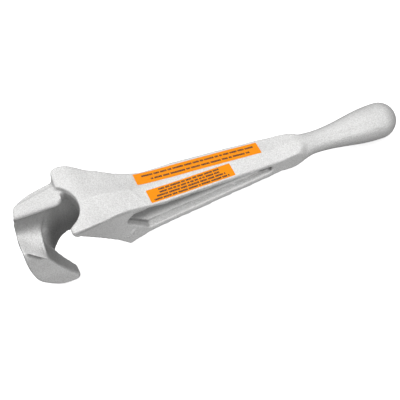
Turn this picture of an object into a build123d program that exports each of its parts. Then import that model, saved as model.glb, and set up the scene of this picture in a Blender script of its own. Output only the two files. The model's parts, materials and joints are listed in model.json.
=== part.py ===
from build123d import *
import os
from math import asin, atan2, degrees, hypot, radians, tan

# One-piece cast aluminium valve wheel wrench with two adhesive labels.
# It is drawn in a tool frame in millimetres: X runs from the head to the handle,
# Y runs across the tool and Z points out of the face that carries the labels.
# X = 0 is the bottom of the spoke notch and Z = 0 is the ridge of the beam at RIDGE_X.
# At the end everything is tilted to stand on the claw and the bulb of the handle.

# ---- beam ----
RIDGE_X = 55.0
RIDGE_FALL = 0.048          # fall of the top ridge for each millimetre of X
ROOF = 0.12                 # fall of the top face for each millimetre away from the ridge
KEEL = 0.03                 # the same for the underside
BEAM_START = 38.0
BEAM_END = 216.0
HALF_WIDTH_HEAD = 22.2      # at RIDGE_X
HALF_WIDTH_NARROWING = 0.046
BOTTOM_START = -43.8        # at BEAM_START
BOTTOM_END = -26.4          # at BEAM_END

# ---- pockets in the two sides of the beam ----
WEB_HALF_HEAD = 14.6        # at RIDGE_X
WEB_HALF_NARROWING = 0.03
POCKET_CORNER = 3.0

# ---- round handle ----
AXIS_Z = -18.3
BLOCK_END_X = 240.0
NECK_X = 246.0
NECK_RADIUS = 11.3
BULB_X = 320.0
BULB_RADIUS = 18.5

# ---- head ----
HEAD_TOP = 11.5
HEAD_FLOOR = -50.0
LIP_X = -16.5
LIP_BOTTOM = 9.3
HEEL = (41.5, -49.0)
NOTCH_RADIUS = 28.5
NOTCH_Y = -1.0
FAR_TIP_RADIUS = 7.0
NEAR_TIP_RADIUS = 3.0

# ---- hook ----
HOOK_TOP = 7.4
HOOK_BACK_X = -60.0
WALL_NEAR_Y = 14.2
WALL_STEP_Y = 20.0
PAD_END_X = -11.5
BLADE_NEAR_Y = -7.4
BLADE_FAR_Y = 8.4
TIP_CENTRE = (-15.6, -93.2)
TIP_RADIUS = 5.5

# ---- reach of the tools that cut or bound a form, beyond the whole depth of the wrench ----
CUT_BASE_Z = -110.0
CUT_HEIGHT = 140.0
CUT_START_X = -80.0

# ---- labels ----
LABEL_THICKNESS = 0.3
LABEL_TURN = 2.1            # degrees, so that each label follows its edge of the beam
LONG_LABEL = (128.0, 15.2)
LONG_LABEL_CENTRE = (124.4, 9.5)
SHORT_LABEL = (87.8, 14.4)
SHORT_LABEL_CENTRE = (108.9, -10.3)


def ridge_z(x):
    return -RIDGE_FALL * (x - RIDGE_X)


def half_width(x):
    return HALF_WIDTH_HEAD - HALF_WIDTH_NARROWING * (x - RIDGE_X)


def upright_slab(outline, near_y, far_y):
    """A side view outline (X, Z) made solid from near_y to far_y."""
    return extrude(Plane.XZ.offset(-far_y) * make_face(outline), amount=far_y - near_y)


def section(x, half, top, bottom):
    """Six-sided section of the beam across X."""
    shoulder = top - ROOF * half
    hip = bottom + KEEL * half
    outline = Polyline(
        (-half, shoulder), (0, top), (half, shoulder),
        (half, hip), (0, bottom), (-half, hip), close=True,
    )
    return Plane.YZ.offset(x) * make_face(outline)


def beam():
    first = section(BEAM_START, half_width(BEAM_START), ridge_z(BEAM_START), BOTTOM_START)
    last = section(BEAM_END, half_width(BEAM_END), ridge_z(BEAM_END), BOTTOM_END)
    return loft([first, last], ruled=True)


def pocket(side):
    """Tool that leaves the web of the beam; side is -1 for the near side, 1 for the far one."""
    outline = make_face(Polyline(
        (39, -13.5), (46.5, -7.6), (194, -14.2), (191, -20.6), (62, -32.2), close=True,
    ))
    outline = fillet(outline.vertices(), POCKET_CORNER)
    web = Plane(
        origin=(RIDGE_X, side * WEB_HALF_HEAD, 0),
        x_dir=(1, -side * WEB_HALF_NARROWING, 0),
        z_dir=(WEB_HALF_NARROWING, side, 0),
    )
    outline = Pos(-RIDGE_X, 0) * outline
    if side > 0:
        outline = mirror(outline, Plane.XZ)
    return extrude(web * outline, amount=20.0, taper=-12.0)


def handle():
    """Flared neck and bulb, turned about the handle's axis."""
    flare = Spline((206, 25), (222, 16.8), (NECK_X, NECK_RADIUS), tangents=[(0.45, -0.9), (1, 0)])
    grip = Spline(
        (NECK_X, NECK_RADIUS), (266, 12.5), (290, 16.2), (BULB_X, BULB_RADIUS),
        tangents=[(1, 0), (1, 0)],
    )
    end = RadiusArc((BULB_X, BULB_RADIUS), (BULB_X + BULB_RADIUS, 0), BULB_RADIUS)
    axis_line = Polyline((BULB_X + BULB_RADIUS, 0), (206, 0), (206, 25))
    profile = make_face([*flare.edges(), *grip.edges(), *end.edges(), *axis_line.edges()])
    turned = revolve(Plane.XZ * profile, Axis.X)
    return Pos(0, 0, AXIS_Z) * turned


def neck_block():
    """Six-sided block that turns into the round neck."""
    first = section(205.0, half_width(205.0) + 0.2, ridge_z(205.0) + 0.3, BOTTOM_END - 1.2)
    last = section(BLOCK_END_X, 13.2, -4.8, -32.0)
    return loft([first, last], ruled=True)


def grip_part():
    turned = handle()
    block = neck_block()
    past_block = Pos(BLOCK_END_X + 50.0, 0, AXIS_Z) * Box(100.0, 60.0, 60.0)
    return (turned & block) + (turned & past_block)


def head():
    """Wedge with two flared prongs, before the notch is cut."""
    top_level = HEAD_TOP + 3.0
    near_edge = Spline((62, -21.8), (44, -22.6), (27, -26.0), (11, -31.2), (LIP_X, -34.5))
    far_edge = Spline((-12.6, 49.0), (11, 40.0), (28, 32.8), (44, 28.0), (62, 23.2))
    top = make_face([
        Line((95, -20.3), (62, -21.8)), *near_edge.edges(), Line((LIP_X, -34.5), (-12.6, 49.0)),
        *far_edge.edges(), Line((62, 23.2), (95, 20.3)), Line((95, 20.3), (95, -20.3)),
    ])
    near_foot = Spline((62, -21.8), (34, -23.3), (10, -23.0), (LIP_X, -20.0))
    far_foot = Spline((LIP_X + 4, 25.0), (10, 24.6), (34, 23.6), (62, 21.8))
    floor = make_face([
        Line((95, -20.3), (62, -21.8)), *near_foot.edges(), Line((LIP_X, -20.0), (LIP_X + 4, 25.0)),
        *far_foot.edges(), Line((62, 21.8), (95, 20.3)), Line((95, 20.3), (95, -20.3)),
    ])
    block = loft([Pos(0, 0, HEAD_FLOOR) * floor, Pos(0, 0, top_level) * top], ruled=True)
    uprights = ShapeList(edge for edge in block.edges() if edge.bounding_box().size.Z > 40)
    far_upright = uprights.sort_by_distance((-12.6, 49, top_level))[0]
    block = fillet(far_upright, FAR_TIP_RADIUS)
    uprights = ShapeList(edge for edge in block.edges() if edge.bounding_box().size.Z > 40)
    near_upright = uprights.sort_by_distance((LIP_X, -34.5, top_level))[0]
    block = fillet(near_upright, NEAR_TIP_RADIUS)
    return block & upright_slab(head_side(), -60.0, 60.0)


def head_side():
    """Side view of the head: lip, heel, underside and the swell of the top."""
    jaw = Line((LIP_X, LIP_BOTTOM), HEEL)
    under = Spline(HEEL, (55, -43.4), (72, -39.9), (90, -37.6), tangents=[(1, 0.7), (1, 0.1)])
    inside = Polyline((90, -37.6), (90, -8), (64, -4.2))
    swell = Spline((64, -4.2), (56, -1.3), (33, 4.6), (12, HEAD_TOP - 0.5), (LIP_X, HEAD_TOP + 0.8))
    lip = Line((LIP_X, HEAD_TOP + 0.8), (LIP_X, LIP_BOTTOM))
    return [*jaw.edges(), *under.edges(), *inside.edges(), *swell.edges(), *lip.edges()]


def notch():
    return Pos(-NOTCH_RADIUS, NOTCH_Y, 0) * Cylinder(NOTCH_RADIUS, CUT_HEIGHT)


def hook_plan():
    """Plan view of the hook, whose far face bulges towards the far prong."""
    far_face = Spline(
        (HOOK_BACK_X, 13.5), (-51, 24.8), (-31, 33.2), (-10, 36.8), (6, 37.6), (20, 35), (44, 27),
    )
    rest = Polyline((44, 27), (44, -12), (HOOK_BACK_X, -12), (HOOK_BACK_X, 13.5))
    outline = make_face([*far_face.edges(), *rest.edges()])
    return extrude(Pos(0, 0, CUT_BASE_Z) * outline, amount=CUT_HEIGHT)


def bridge():
    """Deep wall that joins the hook to the head; its near half stops short of the notch."""
    near_crown = Spline((PAD_END_X, -43.5), (-20, -46.8), (-28, -54), (-32, -62))
    near_rest = Polyline(
        (-32, -62), (-50, -64), (HOOK_BACK_X, -41), (HOOK_BACK_X, HOOK_TOP), (PAD_END_X, HOOK_TOP),
        (PAD_END_X, -43.5),
    )
    far_crown = Spline(HEEL, (18, -52.5), (-8, -55.2), (-18, -57), (-26, -60), (-32, -66))
    far_rest = Polyline(
        (-32, -66), (-50, -64), (HOOK_BACK_X, -41), (HOOK_BACK_X, HOOK_TOP), (-4, HOOK_TOP),
        (22, -22), HEEL,
    )
    near_wall = upright_slab([*near_crown.edges(), *near_rest.edges()], WALL_NEAR_Y, WALL_STEP_Y + 1)
    far_wall = upright_slab([*far_crown.edges(), *far_rest.edges()], WALL_STEP_Y, 40.0)
    return near_wall + far_wall


def claw():
    """Back of the hook and the claw, with the concave seat for the rim."""
    back = Polyline((-14, HOOK_TOP), (HOOK_BACK_X, HOOK_TOP), (HOOK_BACK_X, -41))
    bend = Spline(
        (HOOK_BACK_X, -41), (-56.5, -62.5), (-46.5, -84.5), (-34, -94.8), (-15.6, -98.7),
        tangents=[(0, -1), (1, 0)],
    )
    nose = ThreePointArc((-15.6, -98.7), (-10.6, -95.6), (-11.2, -90.0))
    seat = Spline(
        (-11.2, -90.0), (-21.5, -77.0), (-30.5, -61.5), (-36.5, -46), (-36, -28), (-31, -13), (-14, 2),
    )
    close = Line((-14, 2), (-14, HOOK_TOP))
    outline = [*back.edges(), *bend.edges(), *nose.edges(), *seat.edges(), *close.edges()]
    return upright_slab(outline, BLADE_NEAR_Y, 40.0)


def trough():
    """Spoke trough: a channel along X whose floor runs out onto the claw."""
    floor = Spline(
        (WALL_NEAR_Y, HOOK_TOP + 1), (WALL_NEAR_Y - 0.6, -10), (10.5, -23.5), (2.5, -34),
        (BLADE_NEAR_Y - 1, -42.5),
        tangents=[(0, -1), (-1, -0.65)],
    )
    rest = Polyline(
        (BLADE_NEAR_Y - 1, -42.5), (-30, -42.5), (-30, HOOK_TOP + 1), (WALL_NEAR_Y, HOOK_TOP + 1),
    )
    outline = make_face([*floor.edges(), *rest.edges()])
    return extrude(Plane.YZ.offset(CUT_START_X) * outline, amount=84.0)


def far_relief():
    """Removes the far side of the hook below the bridge, down to the thickness of the claw."""
    face = Spline(
        (44, 12), (36.5, -8), (30.5, -32), (25.5, -50), (17, -66),
        (BLADE_FAR_Y, -82), (5.4, -92), (-4, -105),
    )
    rest = Polyline((-4, -105), (60, -105), (60, 12), (44, 12))
    outline = make_face([*face.edges(), *rest.edges()])
    return extrude(Plane.YZ.offset(CUT_START_X) * outline, amount=125.0)


def hook():
    body = (bridge() + claw() - trough()) & hook_plan()
    return body - far_relief()


def wrench():
    shank = beam() + (head() - notch()) - pocket(-1) - pocket(1)
    return shank + hook() + grip_part()


def label(size, centre, side):
    """Adhesive label lying on one of the two top faces; side is 1 for the far face."""
    x, y = centre
    along = (1, -side * tan(radians(LABEL_TURN)))
    fall = -RIDGE_FALL * along[0] - ROOF * side * along[1]
    place = Plane(
        origin=(x, y, ridge_z(x) - ROOF * abs(y)),
        x_dir=(along[0], along[1], fall),
        z_dir=(RIDGE_FALL, side * ROOF, 1),
    )
    blank = fillet(Rectangle(*size).vertices(), 0.8)
    return extrude(place * blank, amount=LABEL_THICKNESS)


def resting_tilt():
    """Turn about Y that brings the claw's nose and the bulb down to one level."""
    run = BULB_X - TIP_CENTRE[0]
    rise = AXIS_Z - TIP_CENTRE[1]
    return degrees(atan2(rise, run) - asin((BULB_RADIUS - TIP_RADIUS) / hypot(run, rise)))


def main():
    body = wrench()
    pieces = {
        "wrench_body": body,
        "long_label": label(LONG_LABEL, LONG_LABEL_CENTRE, 1),
        "short_label": label(SHORT_LABEL, SHORT_LABEL_CENTRE, -1),
    }
    tilt = Rot(0, resting_tilt(), 0)
    box = (tilt * body).bounding_box()
    middle = box.center()
    place = Pos(-middle.X, -middle.Y, -box.min.Z) * tilt
    for name, piece in pieces.items():
        export_step(place * piece, f"parts/{name}.step")
    print("tilt", round(resting_tilt(), 2), "offset", middle.X, middle.Y, box.min.Z)


main()
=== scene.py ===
import json
import math
import random

import bpy
from mathutils import Matrix, Vector, noise
from mathutils.bvhtree import BVHTree


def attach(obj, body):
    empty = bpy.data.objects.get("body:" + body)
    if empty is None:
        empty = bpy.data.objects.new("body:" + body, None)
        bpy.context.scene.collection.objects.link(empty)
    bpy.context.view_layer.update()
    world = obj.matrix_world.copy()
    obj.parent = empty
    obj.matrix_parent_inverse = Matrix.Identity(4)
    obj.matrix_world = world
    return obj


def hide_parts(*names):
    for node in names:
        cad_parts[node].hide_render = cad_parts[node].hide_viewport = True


MM = 0.001


# ---------------------------------------------------------------- regions of the tool

def smoothstep(low, high, value):
    t = min(1.0, max(0.0, (value - low) / (high - low)))
    return t * t * (3 - 2 * t)


def bell(distance, width):
    return math.exp(-(distance / width) ** 2)


def everywhere(value):
    return 1.0


def ramp(start, full):
    """A strength that goes smoothly from 0 at start to 1 at full, whichever is the larger."""
    return lambda value: smoothstep(start, full, value)


def between(start, full, last, end):
    """A strength of 1 from full to last that fades to 0 at start and at end."""
    return lambda value: smoothstep(start, full, value) * (1 - smoothstep(last, end, value))


def around(centre, width):
    """A strength of 1 at centre that fades to both sides."""
    return lambda value: bell(value - centre, width)


class Region:
    """A part of the tool without sharp borders, in its own millimetres, with a peak strength."""

    def __init__(self, peak=1.0, x=everywhere, y=everywhere, z=everywhere):
        self.peak = peak
        self.x = x
        self.y = y
        self.z = z

    def at(self, x, y, z):
        return self.peak * self.x(x) * self.y(y) * self.z(z)


# ---------------------------------------------------------------- sizes and places

# The tool's own axes, as the part is drawn: X along the handle, Y across, Z out of the
# face that carries the labels. The handle_grip mount lies on the handle's axis.
GRIP_X = 300 * MM
GRIP_Z = -18.3 * MM

# Everything below is in millimetres along the tool's own axes, unless it says otherwise.

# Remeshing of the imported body
VOXEL = 1.05 * MM
SMOOTH_PASSES = 7
SOFTEN_PASSES = 26

# The head and the beam
RIDGE_X = 55.0              # where the ridge of the beam starts
RIDGE_FALL = 0.048          # of the ridge, towards the handle
ROOF = 0.12                 # fall of the two top faces to each side of the ridge
HEAD_PROFILE = ((-16.5, 12.3), (12, 11.0), (33, 4.6), (56, -1.3), (64, -4.2), (80, -12))
CREST_PROFILE = (
    (-16.5, 12.3), (0, 12.0), (12, 12.0), (24, 10.6), (33, 8.4), (45, 5.2), (56, 2.3), (66, 0.2),
    (80, -1.2), (96, -1.97), (110, -2.64),
)
CREST_ROUND = 0.3           # half width of the rounding along its line
CREST_SPAN = between(0, 10, 82, 96)
CREST_FLAT = 0.2            # its fall before it starts, as a share of ROOF
CREST_START = ramp(2, 26)   # where the two sides of the crest part
CREST_JOIN = ramp(40, 60)   # where they take the fall of the beam's top
CREST_DEPTH = ramp(12, 3)   # how far under the top the crest still counts
FAR_FLANK = Region(2.2, x=between(70, 105, 195, 222), y=ramp(8, 16))
NECK_DIP = Region(0.9, x=around(233.0, 5.0), z=ramp(-20, -10))
WAVES = ((22.0, 0.28), (8.0, 0.10))     # length and height of the unevenness of the casting
GRIP_CALM = Region(0.8, x=ramp(246, 262))   # share of the waves that the grip lacks

# The far prong
PRONG = Region(y=ramp(24, 32), z=ramp(-6, 2))
PRONG_FLANK = Region(2.8, x=between(-8, 8, 50, 70))
PRONG_REACH = Region(0.4, x=between(-17, -13, -12, -2))

# The round notch and the wall that joins the hook to the head
NOTCH_RADIUS = 28.5
NOTCH_Y = -1.0
WALL_X = (-31, -9)
WALL_NEAR_Y = 14.2
WALL_SKIN_Y = 12.0          # nothing nearer than this belongs to the wall
WALL_TOP_Z = 3.0
WALL_STEP = Region(5.8, x=ramp(-31, -13), z=ramp(2, -9))
WALL_FADE = ramp(-67, -58)
FOOT_OUTLINE = (            # X, Z and far Y of the fillet between the hook's wall and the seat
    (-12, -42, 26.8), (-36, -42, 26.8), (-38, -66, 17.0), (-31.5, -72, 13.6), (-27.2, -70, 15.0),
    (-24.8, -66, 17.3), (-21.5, -61, 20.0), (-17, -57.6, 21.8), (-12, -55.4, 22.9),
)
FOOT_NEAR_Y = 14.3

# The pad on top of the hook
HOOK_TOP = 7.4
HOOK_BACK_X = -60.0
PAD_LINE_Y = 19.8           # where the pad's far straight edge starts, at HOOK_BACK_X
PAD_LINE_SLOPE = 0.209
PAD_STEP = 1.3
PAD_STEP_WIDTH = 2.4
PAD_FALL = 0.10
PAD_FADE = Region(x=ramp(-11, -17), z=ramp(-8, HOOK_TOP))
PAD_ROLL = Region(4.5, x=ramp(-8, -18), y=ramp(20, 15), z=around(3.0, 5.5))
PAD_ROLL_LOW = -4.0         # the roll ends here with a small step

# The blade and the claw
BLADE_NEAR_Y = -7.4
CREASE_Z = -42.0            # the crease between the trough's floor and the blade
CREASE_LIFT = 12.0
CREASE_FALL = 0.75
CREASE_SINK = -3.5
CREASE_SPAN = Region(x=ramp(-30, -38), y=ramp(16, 9), z=between(-64, CREASE_Z, CREASE_Z, -19))
CREASE_MOVED = (-24, 16)    # the X and the Y up to which the crease carries what is on it
CLAW_FULL = Region(1.0, z=ramp(-62, -80))   # what the softening of its rim takes off, given back

# The casting flaw, a short slanting dent along the crease with a raised lip above it
FLAW_START = (-55.0, -34.5) # X and Z of its upper end
FLAW_FALL = 0.95
FLAW_DENT = Region(x=between(-58, -54, -45, -40), y=around(BLADE_NEAR_Y, 7.0))
FLAW_LIP = Region(x=between(-54, -48, -38, -30), y=around(BLADE_NEAR_Y, 7.0))
FLAW_DEPTH = 3.2
FLAW_SECTION = around(-0.8, 1.7)        # across the dent, from its line
FLAW_RIDGE = 1.0
FLAW_LIP_SECTION = around(3.0, 1.9)

# The pockets
POCKET_UPPER = (46.5, -7.6, 0.0447)     # a point of the pocket's edge in X and Z, and its fall
POCKET_LOWER = (62.0, -32.2, -0.09)
WEB_HALF = 14.6             # at RIDGE_X
WEB_NARROWING = 0.03
WEB_FACING = 0.8            # least cross component of the normal on a web
WEB_LUMPS = Region(1.0, x=between(48, 60, 180, 192), z=around(-18, 9))
WEB_LUMP_SIZE = (6.0, 9.0, 3.5)

# The near side of the head
SIDE_X = (30, 58)
SIDE_TOP_Z = -20.0
SIDE_FACING = 0.7
SIDE_LUMPS = Region(2.6, x=around(43.0, 8.0), z=around(-33.0, 5.0))
SIDE_LUMP_SIZE = (2.2, 9.0, 2.8)

# Edges that are rounded beyond the rest
SOFT = {
    "edge of the pad": Region(0.6, x=ramp(-8, -16), y=around(14.5, 5.0), z=around(6.0, 6.0)),
    "end of the pad": Region(0.35, x=around(-12.0, 4.0), y=between(12, 16, 24, 30), z=ramp(-2, 4)),
    "crease": Region(0.9, x=ramp(-26, -32), y=around(BLADE_NEAR_Y, 5.0), z=around(CREASE_Z, 7.0)),
    "seat": Region(0.7, x=between(-42, -38, -34, -24), y=around(12.0, 7.0), z=ramp(-60, -50)),
    "foot of the seat": Region(0.6, x=around(-26.0, 9.0), z=around(-66.0, 9.0)),
    "step in the wall": Region(1.0, x=around(-11.5, 5.0), y=around(18.0, 6.0), z=ramp(5, -2)),
    "claw": Region(0.25, z=ramp(-46, -52)),
    "near rim of the claw": Region(0.6, y=around(BLADE_NEAR_Y, 3.0), z=ramp(-46, -52)),
    "tip of the claw": Region(1.0, z=ramp(-82, -88)),
    "shoulders": Region(1.0, x=between(34, 46, 66, 80), z=ramp(-9, -4)),
    "far corner of the head": Region(1.0, x=around(44.0, 7.0), y=ramp(17, 21), z=ramp(0, -6)),
    "neck": Region(0.2, x=between(206, 222, 246, 256)),
    "grip": Region(0.35, x=ramp(236, 250)),
}
SOFT_RAIL = Region(0.6, x=between(58, 66, 215, 235), y=ramp(10, 14))    # far rail under the pocket
RAIL_EDGE = ramp(-3, -5)                # under the pocket's lower edge
LEAST_WEIGHT = 0.02

# Painted shade and darker metal, 0 for none: most of these darken the metal's colour in hollows, recesses
# and creases where shade falls. A facing is a test of one component of the normal.
# painted shade on the wall inside the hook
HOLLOW = Region(x=ramp(48, 42), y=between(5, 12, 24, 28), z=ramp(3, -4))
HOLLOW_FACING = ramp(0.3, 0.85)
HOLLOW_LEFT = Region(0.50, z=ramp(-32, -14))
HOLLOW_RIGHT = 0.40
HOLLOW_RIGHT_LOW = Region(0.36, z=ramp(-10, -45))
HOLLOW_TURN = ramp(-40, -26)            # from the left to the right
# painted shade on the claw's seat under the head
SEAT_SHADE = Region(0.30, x=between(-44, -38, -12, -7), y=ramp(18, 15), z=ramp(-8, -20))
SEAT_FACING = ramp(0.15, 0.6)
# painted shade on the wall of the round notch
NOTCH_SHADE = Region(0.5, z=ramp(10, 6))
NOTCH_SKIN = around(0, 1.5)
NOTCH_FACING = ramp(0.3, 0.8)
# painted shade in the pockets: on the web, the low wall and both ends
POCKET_SPAN = between(36, 42, 194, 198)
POCKET_WALL = ramp(5.0, 2.0)            # depth of the pocket, from the web outwards
WEB_SHADE = 0.60
WEB_SHADE_FACING = ramp(0.5, 0.9)
LOW_WALL_SHADE = 0.62
LOW_WALL_FACING = ramp(0.2, 0.6)
FAR_END_SHADE = Region(0.7, x=ramp(176, 184))
FAR_END_WALL = ramp(5.0, 3.0)
NEAR_END_SHADE = Region(0.3, x=between(36, 40, 62, 70))
NEAR_END_FACING = ramp(0.2, 0.5)
# painted shade in the dent of the casting flaw
FLAW_SHADE = 0.8
FLAW_SHADE_SECTION = around(-1.2, 2.3)
# the top of the pad, a little darker
PAD_DARKENING = Region(0.07, x=ramp(-12, -22), z=ramp(1, 4))
HANDLE_DULL = Region(0.10, x=ramp(224, 232))
# painted shade on the end of the bulb
BULB_END_SHADE = Region(0.08, x=ramp(320, 337))
EDGE_SHADE = Region(0.45, x=between(-18, -12, 205, 220))    # thin lines of painted shade along the upper edges
EDGE_SHADE_FACING = around(0.8, 0.22)
EDGE_SHADE_DEPTH = ramp(-5, -2)
# painted shade on the far slope behind the crest
BEHIND_CREST_SHADE = Region(0.035, x=between(-4, 12, 56, 80), y=between(-0.6, 0.8, 9, 16))
BEHIND_FACING = ramp(0.8, 0.95)
HIGHLIGHT_BAND = Region(0.2, x=ramp(-28, -34), z=around(-33.0, 7.0))     # painted highlight, brighter than the rest
HIGHLIGHT_BAND_FACING = ramp(0.3, 0.6)
# painted highlight on the lip above the flaw
LIP_HIGHLIGHT = 0.12
GRIP_POLISH = ramp(240, 262)

# Labels, along and across
LABEL_THICK = 0.25
LABEL_SINK = 0.25
LABEL_CORNER = 0.8
LABEL_CORNER_TURNS = (0, 30, 60, 90)    # degrees
LABEL_STEP = 2.0
LABEL_ROWS = 8
LABEL_TURN = 2.1            # degrees
LABEL_ABOVE = 60            # a height clear above the casting
LONG_LABEL = (128.0, 15.2)
LONG_CENTRE = (124.4, 9.5)
LONG_LINES = ((2.9, -56.5, 57.5, 2.4), (-2.9, -49, 52, 2.4))    # place across, start, end, height
SHORT_LABEL = (87.8, 14.4)
SHORT_CENTRE = (108.9, -10.3)
SHORT_LINES = (
    (4.7, -32, 31, 2.0), (1.5, -32, 30, 2.0), (-1.7, -36, 35, 2.0), (-4.9, -40, 38, 2.0),
)

# Print: dashes measured by the height of their line
PRINT_SEED = 7
PRINT_LIFT = 0.05           # millimetres above and below the label's face
DASH_WIDTH = 0.62
DASH_SPREAD = (0.45, 1.15)
DASH_REACH = (0.42, 0.5)
DASH_GAP = 0.11
GROUP_GAP = 0.5
GROUP_DASHES = (2, 9)

# Finishes
METAL_BRIGHT = (0.80, 0.80, 0.795)
METAL_DULL = (0.63, 0.625, 0.62)
METAL_METALLIC = 0.3
METAL_SPECULAR = 0.25
METAL_EDGE = 0.5            # how bright the metal is at a glancing view
METAL_ROUGH = (0.48, 0.53)  # from one blotch to the next
POLISH = 0.14               # what the polish of the grip takes off the roughness
GRAIN = (900, 3)            # scale per metre and detail of each noise
CLUMPS = (260, 4)
BLOTCHES = (70, 5)
BLOTCH_RANGE = (0.3, 0.7)
GRAIN_DULL_AT = 0.36
GRAIN_BRIGHT_AT = 0.62
GRAIN_BUMP = (0.0006, 0.8)  # height in metres, and strength
CLUMP_BUMP = (0.0008, 0.5)
LABEL_ORANGE = (0.90, 0.28, 0.003)
LABEL_ROUGH = 0.55
LABEL_SPECULAR = 0.12
INK = (0.035, 0.015, 0.01)
INK_ROUGH = 0.6

# Studio, in metres: an even pale surround above the horizon and a dark one below it
WORLD_LOW = 0.1
WORLD_HIGH = 0.52
WORLD_DARK_Z = -0.35
WORLD_LIGHT_Z = 0.6
LIGHTS = (                  # name, place, aim, size and power
    ("top_softbox", (0.15, 0.15, 1.1), (0.05, 0, 0.05), (1.9, 1.3), 8.6),
    ("front_fill", (0.05, -1.5, 0.7), (0, 0, 0.05), (2.6, 1.1), 17),
    ("back_fill", (0.05, 1.6, 0.7), (0, 0, 0.05), (2.6, 0.8), 6),
)
FLOOR = 25.0                # half the side of the floor
FLOOR_PALE = (0.93, 0.93, 0.93)
FLOOR_ROUGH = 0.7
FLOOR_GLOW = 0.55

# Camera, in the tool's axes
VIEW_AZIMUTH = -23.5        # degrees
VIEW_ELEVATION = 52.0
VIEW_DISTANCE = 937.5 * MM
VIEW_RIGHT = 112.4 * MM
VIEW_UP = 8.4 * MM
LENS = 91.1
SENSOR = 36.0
CLIP_START = 0.05


# ---------------------------------------------------------------- helpers

def tool_axes(record):
    """Matrix from the tool's own axes to the row frame."""
    grip = next(m for m in record["mounts"] if m["name"] == "handle_grip")
    x_axis = Vector(grip["axis"]).normalized()
    y_axis = Vector((0, 1, 0))
    z_axis = x_axis.cross(y_axis)
    origin = Vector(grip["pos_m"]) - x_axis * GRIP_X - z_axis * GRIP_Z
    return Matrix.Translation(origin) @ Matrix((x_axis, y_axis, z_axis)).transposed().to_4x4()


def link(obj):
    bpy.context.scene.collection.objects.link(obj)
    return obj


def applied(obj):
    """Replaces the object's mesh by its evaluated one and clears the modifiers."""
    graph = bpy.context.evaluated_depsgraph_get()
    graph.update()
    mesh = bpy.data.meshes.new_from_object(obj.evaluated_get(graph))
    obj.modifiers.clear()
    obj.data = mesh
    return obj


def smooth_modifier(obj, name, passes):
    smooth = obj.modifiers.new(name, "SMOOTH")
    smooth.factor = 0.5
    smooth.iterations = passes
    return smooth


def profile(points, x):
    """Height at x of a smooth line through the points."""
    for k in range(len(points) - 2):
        if x < points[k + 1][0]:
            break
    before, start = points[max(k - 1, 0)], points[k]
    end, after = points[k + 1], points[min(k + 2, len(points) - 1)]
    span = end[0] - start[0]
    t = min(1.0, max(0.0, (x - start[0]) / span))
    rise_start = (end[1] - before[1]) / max(end[0] - before[0], 1e-6) * span
    rise_end = (after[1] - start[1]) / max(after[0] - start[0], 1e-6) * span
    return (
        (2 * t ** 3 - 3 * t ** 2 + 1) * start[1] + (t ** 3 - 2 * t ** 2 + t) * rise_start
        + (3 * t ** 2 - 2 * t ** 3) * end[1] + (t ** 3 - t ** 2) * rise_end
    )


# ---------------------------------------------------------------- casting: the smooth blank

def wall_foot():
    """Corners and faces of the full fillet where the wall of the hook runs down into the seat."""
    near = [Vector((x, FOOT_NEAR_Y, z)) * MM for x, z, far_y in FOOT_OUTLINE]
    far = [Vector((x, far_y, z)) * MM for x, z, far_y in FOOT_OUTLINE]
    count = len(FOOT_OUTLINE)
    faces = [tuple(range(count)), tuple(reversed(range(count, 2 * count)))]
    faces += [(k, k + count, (k + 1) % count + count, (k + 1) % count) for k in range(count)]
    return near + far, faces


def remeshed_casting(node, axes):
    """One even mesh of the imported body, made along the tool's own axes."""
    mesh = bpy.data.meshes.new("wrench_casting")
    inverse = axes.inverted()
    verts = [inverse @ vertex.co for vertex in node.data.vertices]
    faces = [tuple(face.vertices) for face in node.data.polygons]
    foot_verts, foot_faces = wall_foot()
    faces += [tuple(index + len(verts) for index in face) for face in foot_faces]
    mesh.from_pydata(verts + foot_verts, [], faces)
    body = link(bpy.data.objects.new("wrench_casting", mesh))
    remesh = body.modifiers.new("remesh", "REMESH")
    remesh.mode = "VOXEL"
    remesh.voxel_size = VOXEL
    smooth_modifier(body, "smooth", SMOOTH_PASSES)
    applied(body)
    body.data.transform(axes)
    return body


def softness(x, y, z):
    """How far an edge at this place of the tool is rounded beyond the rest, from 0 to 1."""
    rail = SOFT_RAIL.at(x, y, z) * RAIL_EDGE(z - pocket_lower(x))
    return max(rail, *(region.at(x, y, z) for region in SOFT.values()))


def soften(body, inverse):
    group = body.vertex_groups.new(name="soft")
    for vertex in body.data.vertices:
        x, y, z = (inverse @ vertex.co) / MM
        weight = softness(x, y, z)
        if weight > LEAST_WEIGHT:
            group.add([vertex.index], min(1.0, weight), "REPLACE")
    smooth_modifier(body, "soften", SOFTEN_PASSES).vertex_group = "soft"
    applied(body)
    body.vertex_groups.clear()


# ---------------------------------------------------------------- casting: its lines

def plain_top(x, y):
    """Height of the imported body's top at a place of the head or the beam."""
    return max(profile(HEAD_PROFILE, x), -RIDGE_FALL * (x - RIDGE_X) - ROOF * abs(y))


def pocket_upper(x):
    return POCKET_UPPER[1] - POCKET_UPPER[2] * (x - POCKET_UPPER[0])


def pocket_lower(x):
    return POCKET_LOWER[1] - POCKET_LOWER[2] * (x - POCKET_LOWER[0])


def web_half(x):
    """Distance from the middle of the beam to the web of a pocket."""
    return WEB_HALF - WEB_NARROWING * (x - RIDGE_X)


def flaw_line(x):
    """Height at x of the casting flaw."""
    return FLAW_START[1] - FLAW_FALL * (x - FLAW_START[0])


def flaw_lip(x, y, z):
    """Strength of the raised lip above the flaw, from 0 to 1."""
    return FLAW_LIP.at(x, y, z) * FLAW_LIP_SECTION(z - flaw_line(x))


# ---------------------------------------------------------------- casting: relief
# Each function gives a movement in millimetres at a place of the tool.

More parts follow.
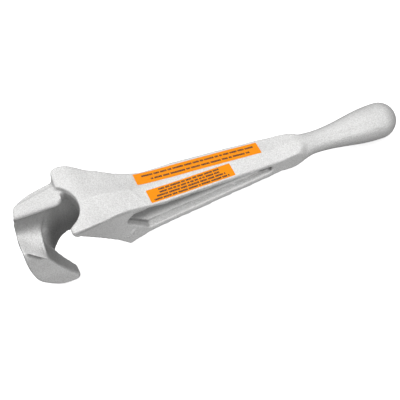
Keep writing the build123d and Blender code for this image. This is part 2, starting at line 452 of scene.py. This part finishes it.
def crest(x, y, z):
    """Rise that carries the ridge of the beam up over the head, on and just under its top."""
    plain = plain_top(x, y)
    slope = ROOF * (CREST_FLAT + CREST_START(x) - CREST_FLAT * CREST_JOIN(x))
    ridged = profile(CREST_PROFILE, x) - slope * (math.hypot(y, CREST_ROUND) - CREST_ROUND)
    return (ridged - plain) * CREST_DEPTH(plain - z) * CREST_SPAN(x)


def wall_push(x, y, z):
    """What brings the near face of the hook's wall out to the wall of the head."""
    if not (WALL_X[0] < x < WALL_X[1] and y > WALL_SKIN_Y and z < WALL_TOP_Z):
        return 0.0
    return max(0.0, WALL_NEAR_Y + WALL_STEP.at(x, y, z) - y) * WALL_FADE(z)


def pad_drop(x, y, z):
    """Fall of the pad's surface beyond its far straight edge."""
    beyond = y - (PAD_LINE_Y + PAD_LINE_SLOPE * (x - HOOK_BACK_X))
    if beyond < 0:
        return 0.0
    return (PAD_STEP * smoothstep(0, PAD_STEP_WIDTH, beyond) + PAD_FALL * beyond) * PAD_FADE.at(x, y, z)


def pad_roll(x, y, z):
    """How far the near edge of the pad rolls out over the trough."""
    return PAD_ROLL.at(x, y, z) if z > PAD_ROLL_LOW else 0.0


def crease_lift(x, y, z):
    """Rise of the crease between the trough's floor and the blade, most at the back."""
    lift = max(CREASE_SINK, CREASE_LIFT - CREASE_FALL * (x - HOOK_BACK_X))
    return lift * CREASE_SPAN.at(x, y, z)


def flaw(x, y, z):
    """The dent of the casting flaw, less its raised lip."""
    dent = FLAW_DENT.at(x, y, z) * FLAW_SECTION(z - flaw_line(x))
    return FLAW_DEPTH * dent - FLAW_RIDGE * flaw_lip(x, y, z)


def lumps(x, y, z, size):
    """Rounded lumps of uneven height, about as large as size along each axis."""
    return max(0.0, noise.noise(Vector((x / size[0], y / size[1], z / size[2]))))


def unevenness(x, y, z, point, normal):
    """Lumps, hollows and waves of the cast skin, outwards."""
    height = CLAW_FULL.at(x, y, z) - NECK_DIP.at(x, y, z)
    if abs(normal.y) > WEB_FACING:
        height += WEB_LUMPS.at(x, y, z) * lumps(x, y, z, WEB_LUMP_SIZE)
    if -normal.y > SIDE_FACING and SIDE_X[0] < x < SIDE_X[1] and z < SIDE_TOP_Z:
        height += SIDE_LUMPS.at(x, y, z) * lumps(x, y, z, SIDE_LUMP_SIZE)
    wave = sum(noise.noise(point / length) * rise for length, rise in WAVES)
    return height + wave * (1 - GRIP_CALM.at(x, y, z))


def relief(point, normal):
    """Movement of one point of the casting."""
    x, y, z = point
    prong = PRONG.at(x, y, z)
    along = -prong * PRONG_REACH.at(x, y, z)
    across = prong * PRONG_FLANK.at(x, y, z) + FAR_FLANK.at(x, y, z)
    across += wall_push(x, y, z) - pad_roll(x, y, z)
    up = crest(x, y, z) - pad_drop(x, y, z) + crease_lift(x, y, z)
    if x < CREASE_MOVED[0] and y < CREASE_MOVED[1]:
        z += up
    across += flaw(x, y, z)
    return Vector((along, across, up)) + normal * unevenness(x, y, z, point, normal)


def sculpt(body, inverse, axes):
    """Gives the blank its relief, and presses flat what would reach under the frame's Z = 0."""
    turn = inverse.to_3x3()
    moves = []
    for vertex in body.data.vertices:
        point = (inverse @ vertex.co) / MM
        moves.append(relief(point, (turn @ vertex.normal).normalized()))
    back = axes.to_3x3()
    for vertex, move in zip(body.data.vertices, moves):
        vertex.co += back @ (move * MM)
        vertex.co.z = max(vertex.co.z, 0.0)


# ---------------------------------------------------------------- casting: tone
# Each function gives a darkening at a place of the tool, 0 where there is none: mostly painted shade in
# hollows, recesses and creases, and a few darker patches of metal.

def hollow_painted_shade(x, y, z, normal):
    """Painted shade on the wall inside the hook: darker at the top on the left, and ever darker down the
    right.
    """
    left = HOLLOW_LEFT.at(x, y, z)
    right = HOLLOW_RIGHT + HOLLOW_RIGHT_LOW.at(x, y, z)
    return HOLLOW.at(x, y, z) * HOLLOW_FACING(-normal.y) * (left + (right - left) * HOLLOW_TURN(x))


# Painted shade on the claw's seat, under the head.
def seat_painted_shade(x, y, z, normal):
    return SEAT_SHADE.at(x, y, z) * SEAT_FACING(normal.x)


def notch_painted_shade(x, y, z, normal):
    """Painted shade on the wall of the round notch."""
    skin = math.hypot(x + NOTCH_RADIUS, y - NOTCH_Y) - NOTCH_RADIUS
    return NOTCH_SHADE.at(x, y, z) * NOTCH_SKIN(skin) * NOTCH_FACING(-normal.x)


def pocket_painted_shade(x, y, z, normal):
    """Painted shade on the web, the low wall and the two ends of a pocket."""
    lower, upper = pocket_lower(x), pocket_upper(x)
    inside = POCKET_SPAN(x) * smoothstep(lower - 1, lower + 1, z) * (1 - smoothstep(upper + 1, upper + 3, z))
    depth = abs(y) - web_half(x)
    sunk = inside * POCKET_WALL(depth)
    web = sunk * smoothstep(lower + 1, (lower + upper) / 2 + 2, z) * WEB_SHADE_FACING(abs(normal.y))
    low_wall = sunk * LOW_WALL_FACING(normal.z)
    far_end = FAR_END_SHADE.at(x, y, z) * inside * FAR_END_WALL(depth)
    near_end = NEAR_END_SHADE.at(x, y, z) * NEAR_END_FACING(normal.x)
    return max(WEB_SHADE * web, LOW_WALL_SHADE * low_wall, far_end, near_end)


# Painted shade in the dent of the casting flaw.
def flaw_painted_shade(x, y, z, normal):
    return FLAW_SHADE * FLAW_DENT.at(x, y, z) * FLAW_SHADE_SECTION(z - flaw_line(x))


def edge_painted_shade(x, y, z, normal):
    """Thin lines of painted shade along the upper edges of the head and the beam."""
    return EDGE_SHADE.at(x, y, z) * EDGE_SHADE_FACING(abs(normal.y)) * EDGE_SHADE_DEPTH(z - plain_top(x, y))


def crest_painted_shade(x, y, z, normal):
    """Painted shade: the far slope behind the crest, a little darker than the near one."""
    return BEHIND_CREST_SHADE.at(x, y, z) * BEHIND_FACING(normal.z)


# The top of the pad, a little darker.
def pad_darkening(x, y, z, normal):
    return PAD_DARKENING.at(x, y, z)


# A little darker handle, and painted shade on the end of the bulb, which faces away from the light.
def handle_dull_and_bulb_shade(x, y, z, normal):
    return HANDLE_DULL.at(x, y, z) + BULB_END_SHADE.at(x, y, z)


SHADE_AND_DULL_PARTS = (
    hollow_painted_shade, seat_painted_shade, notch_painted_shade, pocket_painted_shade, flaw_painted_shade, edge_painted_shade, crest_painted_shade, pad_darkening,
    handle_dull_and_bulb_shade,
)


def tone(point, normal):
    """Brightness of the metal's colour: painted shade in the hollow of the hook, the notch and the pockets,
    and painted highlights on a band of the trough and on the flaw's lip.
    """
    x, y, z = point
    # painted highlights: a bright band on the near wall of the trough, and the lip above the flaw
    painted_highlight = HIGHLIGHT_BAND.at(x, y, z) * HIGHLIGHT_BAND_FACING(-normal.y) + LIP_HIGHLIGHT * flaw_lip(x, y, z)
    return 1.0 + painted_highlight - max(part(x, y, z, normal) for part in SHADE_AND_DULL_PARTS)


def paint(body, inverse):
    """Stores the tone, which holds painted shade and painted highlights, and the polish of the metal on the
    casting's points.
    """
    turn = inverse.to_3x3()
    tones, polishes = [], []
    for vertex in body.data.vertices:
        point = (inverse @ vertex.co) / MM
        tones.append(tone(point, (turn @ vertex.normal).normalized()))
        polishes.append(GRIP_POLISH(point.x))
    body.data.attributes.new("tone", "FLOAT", "POINT").data.foreach_set("value", tones)
    body.data.attributes.new("polish", "FLOAT", "POINT").data.foreach_set("value", polishes)


def casting(node, axes):
    inverse = axes.inverted()
    body = remeshed_casting(node, axes)
    soften(body, inverse)
    sculpt(body, inverse, axes)
    body.data.update()
    paint(body, inverse)
    body.data.shade_smooth()
    return body


# ---------------------------------------------------------------- labels

def surface_under(tree, axes, x, y):
    """The casting's surface point under (x, y) of the tool, in tool millimetres."""
    start = axes @ Vector((x * MM, y * MM, LABEL_ABOVE * MM))
    down = axes.to_3x3() @ Vector((0, 0, -1))
    hit = tree.ray_cast(start, down)[0]
    return (axes.inverted() @ hit) / MM


class Patch:
    """A flat patch of vinyl lying on the casting, in its own u and v along and across."""

    def __init__(self, tree, axes, centre, side):
        self.tree = tree
        self.axes = axes
        self.centre = centre
        turn = math.radians(LABEL_TURN) * -side
        self.along = (math.cos(turn), math.sin(turn))
        self.across = (-math.sin(turn), math.cos(turn))

    def place(self, u, v, lift):
        x = self.centre[0] + u * self.along[0] + v * self.across[0]
        y = self.centre[1] + u * self.along[1] + v * self.across[1]
        point = surface_under(self.tree, self.axes, x, y)
        point.z += lift
        return self.axes @ (point * MM)


def plate(patch, outline_u, outline_v, lift_low, lift_high, verts, faces):
    """Adds a thin plate on the grid outline_u by outline_v, closed round its rim."""
    columns, rows = len(outline_u), len(outline_v[0])
    base = len(verts)
    for lift in (lift_low, lift_high):
        for i, u in enumerate(outline_u):
            for v in outline_v[i]:
                verts.append(patch.place(u, v, lift))

    def at(level, i, j):
        return base + (level * columns + i) * rows + j

    for i in range(columns - 1):
        for j in range(rows - 1):
            faces.append((at(1, i, j), at(1, i + 1, j), at(1, i + 1, j + 1), at(1, i, j + 1)))
            faces.append((at(0, i, j), at(0, i, j + 1), at(0, i + 1, j + 1), at(0, i + 1, j)))
    for i in range(columns - 1):
        faces.append((at(0, i, 0), at(0, i + 1, 0), at(1, i + 1, 0), at(1, i, 0)))
        faces.append((at(0, i + 1, rows - 1), at(0, i, rows - 1),
                      at(1, i, rows - 1), at(1, i + 1, rows - 1)))
    for j in range(rows - 1):
        faces.append((at(0, 0, j + 1), at(0, 0, j), at(1, 0, j), at(1, 0, j + 1)))
        faces.append((at(0, columns - 1, j), at(0, columns - 1, j + 1),
                      at(1, columns - 1, j + 1), at(1, columns - 1, j)))


def mesh_object(name, verts, faces, material):
    mesh = bpy.data.meshes.new(name)
    mesh.from_pydata(verts, [], faces)
    mesh.update()
    mesh.materials.append(material)
    return link(bpy.data.objects.new(name, mesh))


def label_blank(name, patch, size, material):
    half_u, half_v = size[0] / 2, size[1] / 2
    columns = [-half_u + LABEL_CORNER * (1 - math.cos(math.radians(turn))) for turn in LABEL_CORNER_TURNS]
    steps = round(size[0] / LABEL_STEP)
    inner = [-half_u + LABEL_CORNER + (size[0] - 2 * LABEL_CORNER) * k / steps for k in range(1, steps)]
    columns = columns + inner + [-u for u in reversed(columns)]
    rows = []
    for u in columns:
        over = max(0.0, abs(u) - (half_u - LABEL_CORNER))
        reach = half_v - LABEL_CORNER + math.sqrt(max(0.0, LABEL_CORNER ** 2 - over ** 2))
        rows.append([-reach + 2 * reach * j / LABEL_ROWS for j in range(LABEL_ROWS + 1)])
    verts, faces = [], []
    plate(patch, columns, rows, -LABEL_SINK, LABEL_THICK, verts, faces)
    return mesh_object(name, verts, faces, material)


def dashes(name, patch, lines, material, source):
    """Rows of short dark strokes of uneven length, in groups, that spell nothing."""
    verts, faces = [], []
    print_lift = (LABEL_THICK - PRINT_LIFT, LABEL_THICK + PRINT_LIFT)
    for v, start, end, height in lines:
        u = start
        left_in_group = source.randint(*GROUP_DASHES)
        while u < end:
            width = source.uniform(*DASH_SPREAD) * height * DASH_WIDTH
            low = v - height * source.uniform(*DASH_REACH)
            high = v + height * source.uniform(*DASH_REACH)
            plate(patch, [u, u + width], [[low, high]] * 2, *print_lift, verts, faces)
            left_in_group -= 1
            u += width + height * DASH_GAP
            if left_in_group <= 0:
                u += height * GROUP_GAP
                left_in_group = source.randint(*GROUP_DASHES)
    return mesh_object(name, verts, faces, material)


# ---------------------------------------------------------------- materials

def new_material(name):
    material = bpy.data.materials.new(name)
    material.use_nodes = True
    nodes = material.node_tree.nodes
    shader = next(n for n in nodes if n.type == "BSDF_PRINCIPLED")
    return material, nodes, material.node_tree.links, shader


def noise_node(nodes, links, coordinates, kind):
    node = nodes.new("ShaderNodeTexNoise")
    node.inputs["Scale"].default_value, node.inputs["Detail"].default_value = kind
    links.new(coordinates, node.inputs["Vector"])
    return node


def spread(nodes, links, value, low, high, to_low, to_high):
    """Maps a value from one range to another, smoothly and clamped."""
    node = nodes.new("ShaderNodeMapRange")
    node.interpolation_type = "SMOOTHSTEP"
    node.inputs["From Min"].default_value = low
    node.inputs["From Max"].default_value = high
    node.inputs["To Min"].default_value = to_low
    node.inputs["To Max"].default_value = to_high
    links.new(value, node.inputs["Value"])
    return node.outputs["Result"]


def attribute_node(nodes, name):
    node = nodes.new("ShaderNodeAttribute")
    node.attribute_name = name
    return node.outputs["Fac"]


def bump_node(nodes, links, height, kind, base=None):
    node = nodes.new("ShaderNodeBump")
    node.inputs["Distance"].default_value, node.inputs["Strength"].default_value = kind
    links.new(height, node.inputs["Height"])
    if base is not None:
        links.new(base, node.inputs["Normal"])
    return node.outputs["Normal"]


def metal_colour(nodes, links, grain):
    """Bright and dull grains of metal, darkened and lightened by the tone attribute, which holds painted
    shade and painted highlights.
    """
    ramp_node = nodes.new("ShaderNodeValToRGB")
    dull, bright = ramp_node.color_ramp.elements
    dull.position, dull.color = GRAIN_DULL_AT, (*METAL_DULL, 1)
    bright.position, bright.color = GRAIN_BRIGHT_AT, (*METAL_BRIGHT, 1)
    links.new(grain, ramp_node.inputs["Fac"])
    darken = nodes.new("ShaderNodeVectorMath")
    darken.operation = "SCALE"
    links.new(ramp_node.outputs["Color"], darken.inputs[0])
    links.new(attribute_node(nodes, "tone"), darken.inputs["Scale"])
    return darken.outputs["Vector"]


def metal_roughness(nodes, links, blotches):
    """Uneven from blotch to blotch, and less on the polished grip."""
    total = nodes.new("ShaderNodeMath")
    links.new(spread(nodes, links, blotches, *BLOTCH_RANGE, *METAL_ROUGH), total.inputs[0])
    polish = attribute_node(nodes, "polish")
    links.new(spread(nodes, links, polish, 0, 1, 0, -POLISH), total.inputs[1])
    return total.outputs["Value"]


def cast_aluminium():
    """Shot-blasted sand casting: bright, matt, with a fine grain, dull patches and small pits, and the
    painted shade and highlights of the tone attribute.
    """
    material, nodes, links, shader = new_material("cast_aluminium")
    place = nodes.new("ShaderNodeTexCoord").outputs["Object"]
    grain = noise_node(nodes, links, place, GRAIN).outputs["Fac"]
    blotches = noise_node(nodes, links, place, BLOTCHES).outputs["Fac"]
    clumps = noise_node(nodes, links, place, CLUMPS).outputs["Fac"]
    links.new(metal_colour(nodes, links, grain), shader.inputs["Base Color"])
    links.new(metal_roughness(nodes, links, blotches), shader.inputs["Roughness"])
    shader.inputs["Metallic"].default_value = METAL_METALLIC
    shader.inputs["Specular IOR Level"].default_value = METAL_SPECULAR
    shader.inputs["Specular Tint"].default_value = (METAL_EDGE, METAL_EDGE, METAL_EDGE, 1)
    fine = bump_node(nodes, links, grain, GRAIN_BUMP)
    links.new(bump_node(nodes, links, clumps, CLUMP_BUMP, fine), shader.inputs["Normal"])
    return material


def label_vinyl():
    material, nodes, links, shader = new_material("label_vinyl")
    shader.inputs["Base Color"].default_value = (*LABEL_ORANGE, 1)
    shader.inputs["Roughness"].default_value = LABEL_ROUGH
    shader.inputs["Specular IOR Level"].default_value = LABEL_SPECULAR
    return material


def label_ink():
    material, nodes, links, shader = new_material("label_ink")
    shader.inputs["Base Color"].default_value = (*INK, 1)
    shader.inputs["Roughness"].default_value = INK_ROUGH
    return material


# ---------------------------------------------------------------- studio

def softbox(name, location, target, size, power):
    data = bpy.data.lights.new(name, "AREA")
    data.shape = "RECTANGLE"
    data.size, data.size_y = size
    data.energy = power
    lamp = link(bpy.data.objects.new(name, data))
    lamp.location = location
    lamp.rotation_mode = "QUATERNION"
    lamp.rotation_quaternion = (Vector(target) - Vector(location)).to_track_quat("-Z", "Y")


def surround():
    world = bpy.data.worlds.new("studio")
    bpy.context.scene.world = world
    world.use_nodes = True
    nodes, links = world.node_tree.nodes, world.node_tree.links
    direction = nodes.new("ShaderNodeTexCoord").outputs["Generated"]
    height = nodes.new("ShaderNodeSeparateXYZ")
    links.new(direction, height.inputs["Vector"])
    strength = spread(nodes, links, height.outputs["Z"], WORLD_DARK_Z, WORLD_LIGHT_Z, WORLD_LOW, WORLD_HIGH)
    links.new(strength, nodes["Background"].inputs["Strength"])
    nodes["Background"].inputs["Color"].default_value = (1, 1, 1, 1)


def pale_floor():
    corners = ((-FLOOR, -FLOOR), (FLOOR, -FLOOR), (FLOOR, FLOOR), (-FLOOR, FLOOR))
    mesh = bpy.data.meshes.new("floor")
    mesh.from_pydata([(x, y, 0) for x, y in corners], [], [(0, 1, 2, 3)])
    floor = link(bpy.data.objects.new("floor", mesh))
    material, nodes, links, shader = new_material("pale_floor")
    shader.inputs["Base Color"].default_value = (*FLOOR_PALE, 1)
    shader.inputs["Roughness"].default_value = FLOOR_ROUGH
    shader.inputs["Emission Color"].default_value = (1, 1, 1, 1)
    shader.inputs["Emission Strength"].default_value = FLOOR_GLOW
    mesh.materials.append(material)
    floor.visible_diffuse = False
    floor.visible_glossy = False


def studio():
    surround()
    for light in LIGHTS:
        softbox(*light)
    pale_floor()
    bpy.context.scene.view_settings.view_transform = "Standard"


def camera(axes):
    azimuth, elevation = math.radians(VIEW_AZIMUTH), math.radians(VIEW_ELEVATION)
    back = Vector((
        math.sin(azimuth) * math.cos(elevation),
        -math.cos(azimuth) * math.cos(elevation),
        math.sin(elevation),
    ))
    right = Vector((math.cos(azimuth), math.sin(azimuth), 0))
    up = back.cross(right)
    turn = Matrix((right, up, back)).transposed().to_4x4()
    place = Matrix.Translation(back * VIEW_DISTANCE + right * VIEW_RIGHT + up * VIEW_UP)
    data = bpy.data.cameras.new("camera")
    data.lens = LENS
    data.sensor_width = SENSOR
    data.clip_start = CLIP_START
    shooter = link(bpy.data.objects.new("camera", data))
    shooter.matrix_world = axes @ place @ turn
    bpy.context.scene.camera = shooter


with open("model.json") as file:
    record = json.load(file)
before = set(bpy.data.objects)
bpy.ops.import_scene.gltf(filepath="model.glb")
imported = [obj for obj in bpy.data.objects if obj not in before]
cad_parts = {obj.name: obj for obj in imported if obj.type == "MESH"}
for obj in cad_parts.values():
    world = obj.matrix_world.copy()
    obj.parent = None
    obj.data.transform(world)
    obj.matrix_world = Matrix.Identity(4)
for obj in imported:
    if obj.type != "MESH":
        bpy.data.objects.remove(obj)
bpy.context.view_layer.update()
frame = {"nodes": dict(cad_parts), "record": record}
axes = tool_axes(frame["record"])

metal = cast_aluminium()
vinyl = label_vinyl()
ink = label_ink()

body = casting(frame["nodes"]["wrench_body"], axes)
body.data.materials.append(metal)
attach(body, "root")
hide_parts("wrench_body")

tree = BVHTree.FromObject(body, bpy.context.evaluated_depsgraph_get())
source = random.Random(PRINT_SEED)
for name, size, centre, side, lines in (
    ("long_label", LONG_LABEL, LONG_CENTRE, 1, LONG_LINES),
    ("short_label", SHORT_LABEL, SHORT_CENTRE, -1, SHORT_LINES),
):
    patch = Patch(tree, axes, centre, side)
    blank = label_blank(name + "_vinyl", patch, size, vinyl)
    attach(blank, "root")
    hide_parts(name)
    marks = dashes(name + "_print", patch, lines, ink, source)
    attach(marks, "root")

studio()
camera(axes)
